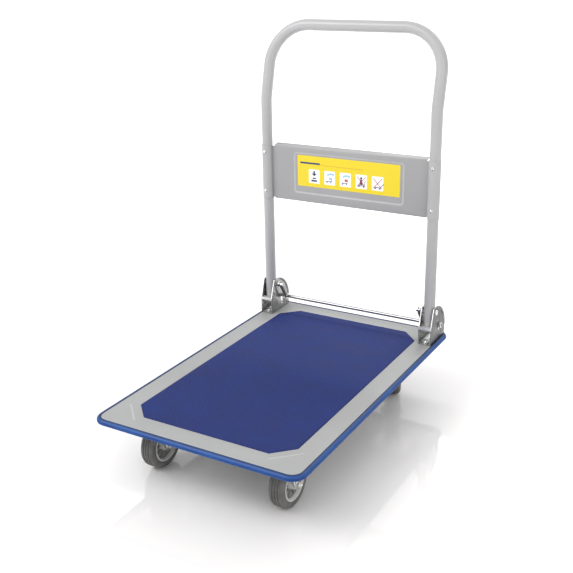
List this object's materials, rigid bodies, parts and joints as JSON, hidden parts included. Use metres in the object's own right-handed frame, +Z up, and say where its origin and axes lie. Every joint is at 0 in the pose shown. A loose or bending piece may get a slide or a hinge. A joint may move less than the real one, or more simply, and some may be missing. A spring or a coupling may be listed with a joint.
{
  "type": "folding platform cart",
  "caption": "Folding platform cart: steel deck with ribbed mat and rubber bumper, fold-down tube handle with panel, foot release bar, fixed and swivel casters.",
  "frame": {"origin": "Bottom centre of the bounding box, on the floor the wheels stand on.", "axes": "+Z up; +X to the right seen from the front end; the front end without a handle faces -Y and the handle stands at the +Y end."},
  "size_m": [0.47, 0.73, 0.8438],
  "materials": {
    "deck_paint": "light grey baked enamel, satin",
    "handle_paint": "light silver-grey powder coat, satin",
    "bumper_rubber": "blue extruded bumper strip",
    "mat_rubber": "dark blue ribbed anti-slip mat",
    "zinc_plate": "bright zinc-plated pressed steel",
    "bright_hardware": "bright zinc-plated fasteners",
    "bar_chrome": "chromed foot bar",
    "label_vinyl": "printed yellow vinyl label",
    "tyre_rubber": "dark grey rubber tyre with grooved tread",
    "hub_plastic": "light grey moulded wheel centre",
    "plug_plastic": "black plastic plugs in the lower tube ends"
  },
  "bodies": {
    "deck": {"deck_plate": "deck_paint", "bumper_strip": "bumper_rubber", "platform_mat": "mat_rubber", "cross_channels": "deck_paint", "side_channels": "deck_paint", "bracket_left": "zinc_plate", "bracket_right": "zinc_plate", "bracket_bolts": "bright_hardware", "hinge_pins": "bright_hardware", "return_springs": "bright_hardware", "fixed_fork_left": "zinc_plate", "fixed_fork_right": "zinc_plate", "front_axles": "bright_hardware", "swivel_head_left": "zinc_plate", "swivel_head_right": "zinc_plate", "caster_bolts": "bright_hardware"},
    "handle": {"handle_tube": "handle_paint", "handle_bushes": "bright_hardware", "tube_plugs": "plug_plastic", "handle_panel": "handle_paint", "panel_screws": "bright_hardware", "panel_label": "label_vinyl"},
    "foot_bar": {"release_bar": "bar_chrome", "bar_nuts": "bright_hardware", "bar_clips": "bright_hardware"},
    "swivel_left": {"swivel_fork_left": "zinc_plate", "rear_axle_left": "bright_hardware"},
    "swivel_right": {"swivel_fork_right": "zinc_plate", "rear_axle_right": "bright_hardware"},
    "wheel_front_left": {"tyre_front_left": "tyre_rubber", "hub_front_left": "hub_plastic"},
    "wheel_front_right": {"tyre_front_right": "tyre_rubber", "hub_front_right": "hub_plastic"},
    "wheel_rear_left": {"tyre_rear_left": "tyre_rubber", "hub_rear_left": "hub_plastic"},
    "wheel_rear_right": {"tyre_rear_right": "tyre_rubber", "hub_rear_right": "hub_plastic"}
  },
  "joints": [
    {"name": "handle_fold", "type": "hinge", "parent": "deck", "child": "handle", "pos_m": [0, 0.2875, 0.21], "axis": [1, 0, 0], "range_deg": [0, 97]},
    {"name": "bar_press", "type": "slide", "parent": "deck", "child": "foot_bar", "axis": [0, 0, -1], "range_m": [0, 0.018], "stiffness_N_per_m": 600, "springref_m": -0.012, "deforming": ["return_springs"]},
    {"name": "swivel_turn_left", "type": "hinge", "parent": "deck", "child": "swivel_left", "pos_m": [-0.15, 0.235, 0.11], "axis": [0, 0, 1], "continuous": true},
    {"name": "swivel_turn_right", "type": "hinge", "parent": "deck", "child": "swivel_right", "pos_m": [0.15, 0.235, 0.11], "axis": [0, 0, 1], "continuous": true},
    {"name": "roll_front_left", "type": "hinge", "parent": "deck", "child": "wheel_front_left", "pos_m": [-0.15, -0.258, 0.05], "axis": [1, 0, 0], "continuous": true},
    {"name": "roll_front_right", "type": "hinge", "parent": "deck", "child": "wheel_front_right", "pos_m": [0.15, -0.258, 0.05], "axis": [1, 0, 0], "continuous": true},
    {"name": "roll_rear_left", "type": "hinge", "parent": "swivel_left", "child": "wheel_rear_left", "pos_m": [-0.16498, 0.2644, 0.05], "axis": [0.891, 0.454, 0], "continuous": true},
    {"name": "roll_rear_right", "type": "hinge", "parent": "swivel_right", "child": "wheel_rear_right", "pos_m": [0.13502, 0.2644, 0.05], "axis": [0.891, 0.454, 0], "continuous": true}
  ]
}
